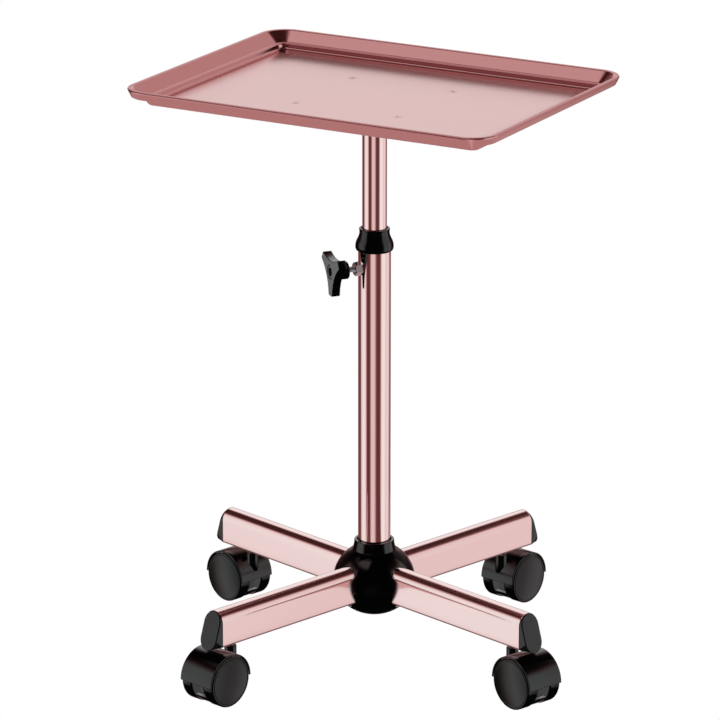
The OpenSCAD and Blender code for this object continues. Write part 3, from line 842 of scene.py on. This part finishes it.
# ------------------------------------------------------------ lock
# Heights of these pieces are distances from the column axis.
def build_weld_nut():
    """A hexagon with turned corners, saddled on to the tube."""
    nut = prism(hexagon(7.5, 45, 0.25), 8, 22.5).build("tube_nut", LOCK)
    turned = fillet([(0, 5), (9, 5), (9, 21.0), (6.6, 22.5), (0, 22.5)], closed=False)
    boolean(nut, [lathe(turned, 96, closed=False).piece(LOCK)], "INTERSECT")
    bore = [(0, 0), (3.05, 0), (3.05, 21.9), (3.6, 22.6), (3.6, 30), (0, 30)]
    bore = lathe(bore, 64, closed=False).piece(LOCK)
    saddle = rod(OUTER_RADIUS + 0.01, LOCK_Z - 30, LOCK_Z + 30, 192).piece()
    boolean(nut, [bore, saddle], "DIFFERENCE")
    return shade(nut, 25)


fit(build_weld_nut(), "base", NICKEL, "weld_nut")


def build_lock_screw():
    """A threaded bolt with a plain inner end and a hexagon head."""
    radius, pitch, groove = 3.0, 1.0, 0.42
    start, end = 15.1, 41.0
    z = start + 1.6
    profile = [(0, start), (2.1, start), (2.45, start + 0.5), (2.45, z)]
    while z < end - 4:
        profile += [(radius, z + 0.38), (radius, z + 0.5), (radius - groove, z + 0.85),
                    (radius - groove, z + pitch)]
        z += pitch
    profile += [(radius, z + 0.4), (radius, end), (0, end)]
    ob = lathe(profile, 48, closed=False).build("lock_bolt", LOCK, sharp=25)
    head = prism(hexagon(7.3, rounding=0.3), 40.6, 45.45, 0.3, 0.3, 2).piece(LOCK)
    boolean(ob, [head], "UNION")
    return shade(ob, 25)


fit(build_lock_screw(), "knob", NICKEL, "lock_screw")

LOBES = (30, 150, 270)
# reach, corner radius, half the flat, and sweep of a corner, all of a lobe's tip
TIP, TIP_CORNER, TIP_HALF_FLAT, TIP_SWEEP = 26.0, 2.2, 2.8, 85.3
# radius, centre distance and half the sweep of a hollow
HOLLOW_RADIUS, HOLLOW_CENTRE, HOLLOW_SWEEP = 42.67, 54.87, 25.35


def grip_outline():
    """Three blunt lobes with a shallow hollow between each two."""
    points = []
    for lobe in LOBES:
        for side, start, end in ((-1, -TIP_SWEEP, 0.0), (1, 0.0, TIP_SWEEP)):
            for k in range(9):
                t = math.radians(start + (end - start) * k / 8)
                x = TIP - TIP_CORNER + TIP_CORNER * math.cos(t)
                y = side * TIP_HALF_FLAT + TIP_CORNER * math.sin(t)
                points.append(rotate(x, y, math.radians(lobe)))
        for k in range(1, 24):
            t = math.radians(HOLLOW_SWEEP * (1 - k / 12.0))
            x = HOLLOW_CENTRE - HOLLOW_RADIUS * math.cos(t)
            y = -HOLLOW_RADIUS * math.sin(t)
            points.append(rotate(x, y, math.radians(lobe + 60)))
    return points


def build_grip():
    ob = prism(grip_outline(), 40.0, 49.3, 0.8, 1.0, 5).build("star_grip", LOCK, sharp=30)
    boss = fillet([(0, 30.5), (9.25, 30.5, 1.0), (9.25, 41), (0, 41)], closed=False)
    boolean(ob, [lathe(boss, 96, closed=False).piece(LOCK)], "UNION")
    cap_seat = [(0, 45.5), (7.4, 45.5), (7.4, 48.7), (8.1, 49.6), (8.1, 52), (0, 52)]
    cuts = [rod(3.04, 20, 41, 48).piece(LOCK),
            prism(hexagon(7.35), 40.5, 45.6).piece(LOCK),
            lathe(cap_seat, 96, closed=False).piece(LOCK)]
    boolean(ob, cuts, "DIFFERENCE")
    return shade(ob, 30)


def build_grip_cap():
    profile = fillet([(0, 45.55), (7.3, 45.55, 0.2), (7.3, 48.9, 0.7), (5.4, 49.15, 2.0),
                      (0, 49.25)], closed=False)
    return lathe(profile, 96, closed=False).build("grip_cap", LOCK)


fit(build_grip(), "knob", KNOB_BLACK, "lock_knob")
fit(build_grip_cap(), "knob", KNOB_CAP_BLACK, "knob_cap")


# ------------------------------------------------------------ legs
def bar_outline(half, low, top, corner, sweep=math.pi / 2):
    """A section of (across, up): round top, straight sides, rounded bottom corners. The points
    keep their number and order, so that two such sections can be joined."""
    points = [(half * math.cos(math.pi * k / 36), top - half + half * math.sin(math.pi * k / 36))
              for k in range(37)]

    def side(x, fractions):
        return [(x, low + corner + (top - low - half - corner) * f) for f in fractions]

    def bottom(x, start):
        return [(x + corner * math.cos(start + sweep * k / 6),
                 low + corner + corner * math.sin(start + sweep * k / 6)) for k in range(7)]

    points += side(-half, (0.66, 0.33))
    points += bottom(-half + corner, math.pi)
    points += bottom(half - corner, 2 * math.pi - sweep)
    points += side(half, (0.33, 0.66))
    return points


LEG_OUTLINE = bar_outline(LEG_HALF, 0.0, LEG_HEIGHT, 3.0)


def bore_outline(gap=0.0):
    """The inside of a leg tube, or a plug that leaves a gap to it."""
    section = bar_outline(LEG_HALF - LEG_WALL - gap, 0.0, LEG_HEIGHT - 2 * LEG_WALL - 2 * gap, 1.6)
    return [(x, y + LEG_WALL + gap) for x, y in section]


def leg_ring(part, outline, distance):
    return part.ring([along_leg(x, y, distance) for x, y in outline])


def build_leg(leg):
    part = Part()
    levels = [(LEG_START, 0)]            # (distance from the column axis, inset)
    levels += [(LEG_START + (LEG_END - LEG_START) * t, 0) for t in (0.2, 0.4, 0.6, 0.8)]
    levels += [(LEG_END - 1.0, 0), (LEG_END - 0.4, 0), (LEG_END - 0.12, 0.12), (LEG_END, 0.4)]
    outer = [leg_ring(part, offset(LEG_OUTLINE, inset), distance) for distance, inset in levels]
    part.loft(outer)
    inner = [leg_ring(part, bore_outline(), distance) for distance in (LEG_START, LEG_END)]
    part.bridge(inner[1], inner[0])
    part.bridge(inner[0], outer[0])
    part.bridge(outer[-1], inner[1])
    ob = part.build("leg_tube_" + leg, LEG_FRAMES[leg], sharp=30)
    stem_x = SWIVELS[leg].xy.length / MM
    holes = [circle(5.2, 48, stem_x, 0), circle(2.0, 32, LEG_SCREW_X, 0)]
    cuts = [prism(hole, LEG_LOW - 1, LEG_LOW + 4).piece(LEG_FRAMES[leg]) for hole in holes]
    boolean(ob, cuts, "DIFFERENCE")
    return shade(ob, 30)


CAP_START = LEG_END + 0.02
CAP_LENGTH = 12.56                       # face of the cap past the leg's end, at the underside
CAP_SLOPE = math.tan(math.radians(17.2))
CAP_EDGE, CAP_CROWN = 1.3, 0.3           # largest edge radius, and bulge of the face


def cap_face(y):
    """Distance of the sloping face from the column axis, at a height on the leg."""
    return LEG_END + CAP_LENGTH - y * CAP_SLOPE


def cap_edge(y):
    """Radius of the face's edge at a height on the leg."""
    return min(CAP_EDGE, 0.42 * (cap_face(y) - CAP_START))


def build_end_cap(leg):
    """A cap that passes from the leg's section to an oval face, with a plug inside the tube."""
    part = Part()
    oval = bar_outline(LEG_HALF, -2.2, LEG_HEIGHT - 0.5, LEG_HALF, sweep=math.radians(87.0))
    rings = [leg_ring(part, offset(LEG_OUTLINE, inset), CAP_START + distance)
             for distance, inset in ((0, 0.3), (0.1, 0.08), (0.25, 0))]
    for s in range(1, 9):
        u = s / 8.0
        blend = u * u * (3 - 2 * u)
        section = [(a[0] + (b[0] - a[0]) * blend, a[1] + (b[1] - a[1]) * blend)
                   for a, b in zip(LEG_OUTLINE, oval)]
        rings.append(part.ring([
            along_leg(x, y, CAP_START + 0.25 + u * (cap_face(y) - cap_edge(y) - CAP_START - 0.25))
            for x, y in section]))
    # rounded edge of the face
    inward = [(b[0] - a[0], b[1] - a[1]) for a, b in zip(oval, offset(oval, 1.0))]
    for s in range(1, 8):
        t = math.pi / 2 * s / 7
        points = []
        for (x, y), (in_x, in_y) in zip(oval, inward):
            radius = cap_edge(y)
            x += in_x * radius * (1 - math.cos(t))
            y += in_y * radius * (1 - math.cos(t))
            points.append(along_leg(x, y, cap_face(y) - radius + radius * math.sin(t)))
        rings.append(part.ring(points))
    # slightly crowned face
    rim = [(x + in_x * cap_edge(y), y + in_y * cap_edge(y))
           for (x, y), (in_x, in_y) in zip(oval, inward)]
    middle = LEG_HEIGHT / 2 - 1.4
    for s in range(1, 9):
        f = 1 - s / 9.0
        section = [(x * f, middle + (y - middle) * f) for x, y in rim]
        rings.append(part.ring([along_leg(x, y, cap_face(y) + CAP_CROWN * (1 - f * f))
                                for x, y in section]))
    part.loft(rings)
    part.fan(rings[-1], along_leg(0.0, middle, cap_face(middle) + CAP_CROWN))
    plug = [leg_ring(part, offset(bore_outline(gap=0.04), inset), distance)
            for distance, inset in ((CAP_START, 0), (LEG_END - 10, 0), (LEG_END - 11, 1.0))]
    part.bridge(plug[0], rings[0])
    part.bridge(plug[1], plug[0])
    part.bridge(plug[2], plug[1])
    part.cap(plug[2])
    return part.build("leg_cap_" + leg, LEG_FRAMES[leg], sharp=34)


for leg in LEGS:
    fit(build_leg(leg), "base", LEG_METAL, "leg_" + leg)
    fit(build_end_cap(leg), "base", CAP_BLACK, "end_cap_" + leg)


# ------------------------------------------------------------ hub
def build_hub():
    """A flattened ball with a neck round the outer tube and four sockets for the legs."""
    low, top = z_span("hub_shell")
    radius, middle = half_size("hub_shell"), LEG_LOW + 16.0
    height_below, height_above = 37.1, 40.0  # half-heights of the two halves of the ball
    start, end, neck = -72.0, 58.4, 20.9     # the ball's angles, and the neck's radius
    profile = [(0, low)]
    for i in range(61):
        angle = math.radians(start + (end - start) * i / 60)
        height = height_below if angle < 0 else height_above
        profile.append((radius * math.cos(angle), middle + height * math.sin(angle)))
    # crisp root, then the neck
    x, y = profile[-1]
    profile += smooth_line([(x - 0.25, y + 0.25), (21.95, y + 2.6), (21.35, y + 5.4),
                            (21.0, y + 8.2), (neck, top - 0.9)], 4)
    profile += fillet([
        (neck, top - 0.9), (neck, top, 0.8), (OUTER_RADIUS + 1.3, top, 0.3),
        (OUTER_RADIUS + 0.05, top - 1.9), (0, top - 2.0)], closed=False, step=8)[1:]
    ob = lathe(profile, 192, closed=False).build("hub_ball", sharp=40)
    socket = offset(LEG_OUTLINE, -0.12)
    cuts = []
    for leg in LEGS:
        cuts.append(prism(socket, LEG_START - 0.1, 60, place=along_leg).piece(LEG_FRAMES[leg]))
        # screw hole under the leg: radius, lower and upper level
        for hole_radius, hole_low, hole_top in ((4.2, 25, 57), (2.15, 40, 65)):
            hole = circle(hole_radius, 32, LEG_SCREW_X, 0)
            cuts.append(prism(hole, hole_low, hole_top).piece(LEG_FRAMES[leg]))
    cuts.append(rod(OUTER_RADIUS + 0.02, 60, 160, 160).piece())
    # stepped hole from below, on the axis
    stepped = [(0, 20), (13.0, 20), (13.0, 49), (5.3, 49), (5.3, 80), (0, 80)]
    cuts.append(lathe(stepped, 96, closed=False).piece())
    boolean(ob, cuts, "DIFFERENCE")
    return shade(ob, 34)


fit(build_hub(), "base", BLACK, "hub_shell")


# ------------------------------------------------------------ castors
def castor_frame(leg):
    axle, swivel = Vector(JOINTS["wheel_spin_" + leg + "_a"]["axis"]), SWIVELS[leg]
    return Matrix((
        (axle.y, axle.x, 0, swivel.x / MM),
        (-axle.x, axle.y, 0, swivel.y / MM),
        (0, 0, 1, 0),
        (0, 0, 0, 1)))


def build_band(leg, matrix):
    """The band over both wheels: a rounded strip swept along an arc, with rounded ends."""
    part = Part()
    inner = HOOD_RADIUS - HOOD_WALL
    # across the wheels, distance from the axle, corner radius
    strip = fillet([(-HALF_WIDTH, inner, 0.7), (HALF_WIDTH, inner, 0.7),
                    (HALF_WIDTH, HOOD_RADIUS, 0.7), (-HALF_WIDTH, HOOD_RADIUS, 0.7)], step=15)
    half = HOOD_WALL / 2
    middle = HOOD_RADIUS - half

    def strip_ring(section, degrees):
        angle = math.radians(degrees)
        return part.ring([(TRAIL + distance * math.cos(angle), y,
                           AXLE_Z + distance * math.sin(angle)) for y, distance in section])

    def round_end(ring, degrees, direction):
        for s in range(1, 5):
            t = math.pi / 2 * s / 4
            shrink, advance = math.cos(t), half * math.sin(t)
            section = [(math.copysign(max(abs(y) - half * (1 - shrink), 0), y),
                        middle + (distance - middle) * max(shrink, 0.03))
                       for y, distance in strip]
            following = strip_ring(section, degrees + direction * math.degrees(advance / middle))
            part.bridge(ring, following)
            ring = following
        part.cap(ring)

    start, end, steps = 1.2, 178.8, 72
    rings = [strip_ring(strip, start + (end - start) * i / steps) for i in range(steps + 1)]
    part.loft(rings)
    round_end(rings[0], start, -1)
    round_end(rings[-1], end, 1)
    return part.build("castor_hood_" + leg, matrix, sharp=34)


def axle_arc(radius, start, end, steps):
    """An arc round the axle, in the XZ plane."""
    angles = [math.radians(start + (end - start) * i / steps) for i in range(steps + 1)]
    return [(TRAIL + radius * math.cos(a), AXLE_Z + radius * math.sin(a)) for a in angles]


def build_housing(leg, matrix):
    """The hood, the web below it, the block between the wheels and the swivel sleeve."""
    ob = build_band(leg, matrix)
    web = prism(axle_arc(HOOD_RADIUS - 0.6, 20, 160, 48), -4.5, 4.5, 0.5, 0.5, 3, place=standing)
    filler = prism([(TRAIL - 15, AXLE_Z - 2), (TRAIL + 15, AXLE_Z - 2),
                    (TRAIL + 15, AXLE_Z + 20), (TRAIL - 15, AXLE_Z + 20)],
                   -4.5, 4.5, place=standing)
    half_block = HALF_GAP - 0.4
    block = prism(axle_arc(WHEEL_RADIUS - 0.9, 180.03, 359.97, 72), -half_block, half_block,
                  0.5, 0.5, 3, place=standing).piece(matrix)
    # a pocket at each end of the block, below the hood
    pockets = []
    for side in (-1, 1):
        near, far = TRAIL + side * 16, TRAIL + side * 38
        pocket = fillet([(near, AXLE_Z - 14.3, 1.0), (far, AXLE_Z - 14.3), (far, AXLE_Z + 15),
                         (near, AXLE_Z + 15)])
        pockets.append(prism(pocket, -7.4, 7.4, place=standing).piece(matrix))
    boolean(block, pockets, "DIFFERENCE")
    boss = prism(circle(9.0, 64, TRAIL, AXLE_Z), -half_block, half_block, 0.4, 0.4, 2,
                 place=standing)
    sleeve = lathe(fillet([
        (0, 33.5), (4.4, 33.5), (6.3, 36.5), (6.3, SLEEVE_TOP, 0.9), (4.6, SLEEVE_TOP, 0.3),
        (4.6, SLEEVE_TOP - 1), (0, SLEEVE_TOP - 1)], closed=False), 64, closed=False)
    boolean(ob, [web.piece(matrix), filler.piece(matrix), block, boss.piece(matrix),
                 sleeve.piece(matrix)], "UNION")
    axle_hole = prism(circle(3.02, 48, TRAIL, AXLE_Z), -30, 30, place=standing)
    boolean(ob, [rod(4.06, 38, 80, 48).piece(matrix), axle_hole.piece(matrix)], "DIFFERENCE")
    return shade(ob, 34)


def build_wheel(leg, side, matrix):
    """A wheel with a hollow inner face, a groove near the rim and a domed outer face."""
    radius, outer, inner = WHEEL_RADIUS, HALF_WIDTH, HALF_GAP
    # radius, distance from the castor's middle, corner radius
    profile = fillet([
        (0, inner + 4.6), (3.05, inner + 4.6), (3.05, inner), (9.4, inner, 0.3),
        (9.6, inner + 3.5, 0.8), (radius - 6, inner + 3.5, 0.8), (radius - 4.6, inner, 0.5),
        (radius, inner, 1.6), (radius, outer - 0.1, 1.5), (radius - 2.1, outer + 0.05, 0.3),
        (radius - 2.35, outer - 0.55, 0.2), (radius - 2.9, outer - 0.55, 0.2),
        (radius - 3.15, outer + 0.05, 0.45)], closed=False)
    dome = radius - 3.5
    for i in range(1, 15):
        x = dome * (1 - i / 14.0)
        profile.append((x, outer + 1.2 - 1.15 * ((x / dome) ** 2.2)))
    tilt = math.radians(-90 if side == "a" else 90)
    local = Matrix.Translation((TRAIL, 0, AXLE_Z)) @ Matrix.Rotation(tilt, 4, "X")
    return lathe(profile, 128, closed=False).build("castor_wheel_" + leg + "_" + side,
                                                   matrix @ local, sharp=34)


def build_stem(leg, matrix):
    """The swivel pin, with a hexagon just under the leg."""
    profile = fillet([
        (0, 38.6), (3.4, 38.6), (4.0, 39.2), (4.0, SLEEVE_TOP + 1.5), (4.7, SLEEVE_TOP + 1.5),
        (4.7, LEG_LOW - 0.6), (5.0, LEG_LOW - 0.6), (5.0, LEG_LOW + 14, 0.5), (0, LEG_LOW + 14)],
        closed=False)
    ob = lathe(profile, 64, closed=False).build("castor_pin_" + leg, matrix, sharp=34)
    nut = prism(hexagon(5.6, rounding=0.2), SLEEVE_TOP + 0.4, LEG_LOW - 0.02, 0.35, 0.35, 2)
    boolean(ob, [nut.piece(matrix)], "UNION")
    return shade(ob, 30)


for leg in LEGS:
    matrix = castor_frame(leg)
    hood = fit(build_housing(leg, matrix), "castor_" + leg, CASTOR_BLACK,
               "castor_housing_" + leg)
    hood.visible_glossy = False
    fit(build_stem(leg, matrix), "base", NICKEL, "castor_stem_" + leg)
    for side in "ab":
        body = "wheel_" + leg + "_" + side
        wheel = fit(build_wheel(leg, side, matrix), body, WHEEL_BLACK, body)
        wheel.visible_glossy = False

# ------------------------------------------------------------ CAD pieces that stay
KEPT = {"glide_bush": NYLON, "tube_foot_plug": BLACK, "clamp_pad": BRASS}
KEPT.update(dict.fromkeys([
    "column_plug", "hub_bolt", "hub_washer", "leg_screws", "stem_nuts", "tray_nuts",
    "bracket_set_screw"] + ["castor_axle_" + leg for leg in LEGS], ZINC))
for name, material in KEPT.items():
    kept = frame["nodes"][name]
    kept.data.materials.clear()
    kept.data.materials.append(material)
    shade(kept, 30)
    bevel = kept.modifiers.new("edge", "BEVEL")
    bevel.width, bevel.segments = 0.0002, 2
    bevel.limit_method, bevel.angle_limit = "ANGLE", math.radians(40)


# ------------------------------------------------------------ camera
def build_camera():
    data = bpy.data.cameras.new("camera")
    camera = bpy.data.objects.new("camera", data)
    scene.collection.objects.link(camera)
    pitch_down, turn = 17.45, 29.19
    camera.location = (2.1957, -3.9610, 1.7410)  # metres
    camera.rotation_euler = (math.radians(90 - pitch_down), 0, math.radians(turn))
    data.lens, data.sensor_width = 228.9, 36.0
    data.clip_start, data.clip_end = 0.05, 200   # metres
    scene.camera = camera


build_camera()

# ------------------------------------------------------------ studio
# Light is given by direction: azimuth from the camera's side, positive to its right.
# Walls of light at the sides: (azimuth, level)
SIDES = [
    (-180, .30), (-150, .24), (-132, .17), (-122, .09), (-117, .16), (-112, .33), (-107, .64),
    (-102, .86), (-90, .96), (-78, .98), (-72, .93), (-66, .92), (-62, .75), (-58, .45),
    (-54, .21), (-50, .12), (39, .12), (42, .31), (45, .5), (48, .75), (53, .93), (60, .97),
    (72, .99), (80, .93), (88, .85), (102, .91), (118, .87), (122, .75), (126, .42), (132, .33),
    (142, .25), (180, .33)]
# Low light from the camera's side: (azimuth, level)
FRONT = [
    (-37, 0), (-33, .14), (-29, .38), (-24, .70), (-18, .83), (-6, .84), (0, .79), (6, .58),
    (12, .28), (18, .10), (22, 0)]
# How the colour goes with the brightness: (red, green), so that the dim parts are warm red
TINT = [
    (0, 0), (.03, .008), (.05, .016), (.088, .027), (.125, .047), (.17, .062), (.266, .12),
    (.335, .174), (.41, .226), (.566, .377), (.67, .46), (.745, .566), (.85, .71), (.957, .98),
    (1.0, 1.0)]
BACK, OVERHEAD, BACK_RIGHT, FLOOR_GLOW = 0.97, 0.8, 0.66, 0.62
DARKEST = 0.045
BLUE_SHARE = 0.995                       # blue as a share of green


def build_world():
    world = bpy.data.worlds.new("studio")
    scene.world = world
    world.use_nodes = True
    tree = world.node_tree
    tree.nodes.clear()
    output = node(tree, "OutputWorld")
    azimuth, elevation = heading(tree, node(tree, "TexCoord").outputs["Generated"])
    turn = turn_of(tree, azimuth)
    from_front = maths(tree, "ABSOLUTE", azimuth)
    sides = multiply(tree, curve(tree, turn, by_turn(SIDES)), fade(tree, elevation, 44, 26),
                     fade(tree, elevation, -52, -36))
    front = multiply(tree, curve(tree, turn, by_turn(FRONT)), fade(tree, elevation, 8, -8))
    back = multiply(tree, fade(tree, from_front, 150, 168),
                    *edges(tree, elevation, -6, 8, 38, 78), BACK)
    overhead = multiply(tree, *edges(tree, azimuth, -132, -112, -30, -5),
                        *edges(tree, elevation, 46, 56, 72, 84), OVERHEAD)
    back_right = multiply(tree, *edges(tree, azimuth, 104, 118, 152, 168),
                          *edges(tree, elevation, 4, 13, 38, 46), BACK_RIGHT)
    below = multiply(tree, fade(tree, elevation, -20, -32), FLOOR_GLOW)
    total = fold(tree, "MAXIMUM", (sides, front, back, overhead, back_right, below))
    red = maths(tree, "MINIMUM", maths(tree, "MAXIMUM", total, DARKEST), 1.0)
    green = curve(tree, red, TINT)
    blue = multiply(tree, green, BLUE_SHARE)
    colour = node(tree, "CombineColor", {0: red, 1: green, 2: blue}).outputs[0]
    # mirrors see the colours, diffuse faces the same light in grey, the camera plain white
    tinted = node(tree, "Background", {"Color": colour, "Strength": 1.0}).outputs[0]
    grey = node(tree, "Background", {"Color": green}).outputs[0]
    white = node(tree, "Background", {"Color": (1, 1, 1, 1)}).outputs[0]
    ray = node(tree, "LightPath").outputs
    lighting = node(tree, "MixShader", {0: ray["Is Diffuse Ray"], 1: tinted, 2: grey}).outputs[0]
    seen = node(tree, "MixShader", {0: ray["Is Camera Ray"], 1: lighting, 2: white}).outputs[0]
    feed(tree, output, {"Surface": seen})


build_world()
scene.view_settings.view_transform = "Standard"


def build_floor():
    """A plain white floor that takes no part in the lighting."""
    half, level = 9000, -0.02
    part = Part()
    part.cap(part.ring([(-half, -half, level), (half, -half, level), (half, half, level),
                        (-half, half, level)]))
    floor = part.build("studio_floor")
    material, tree, principled = new_material("studio_floor")
    tree.nodes.remove(principled)
    white = node(tree, "Emission", {"Color": (1, 1, 1, 1), "Strength": 1.0})
    feed(tree, tree.nodes["Material Output"], {"Surface": white.outputs[0]})
    floor.data.materials.append(material)
    floor.visible_glossy = False
    floor.visible_diffuse = False
    floor.visible_shadow = False


build_floor()
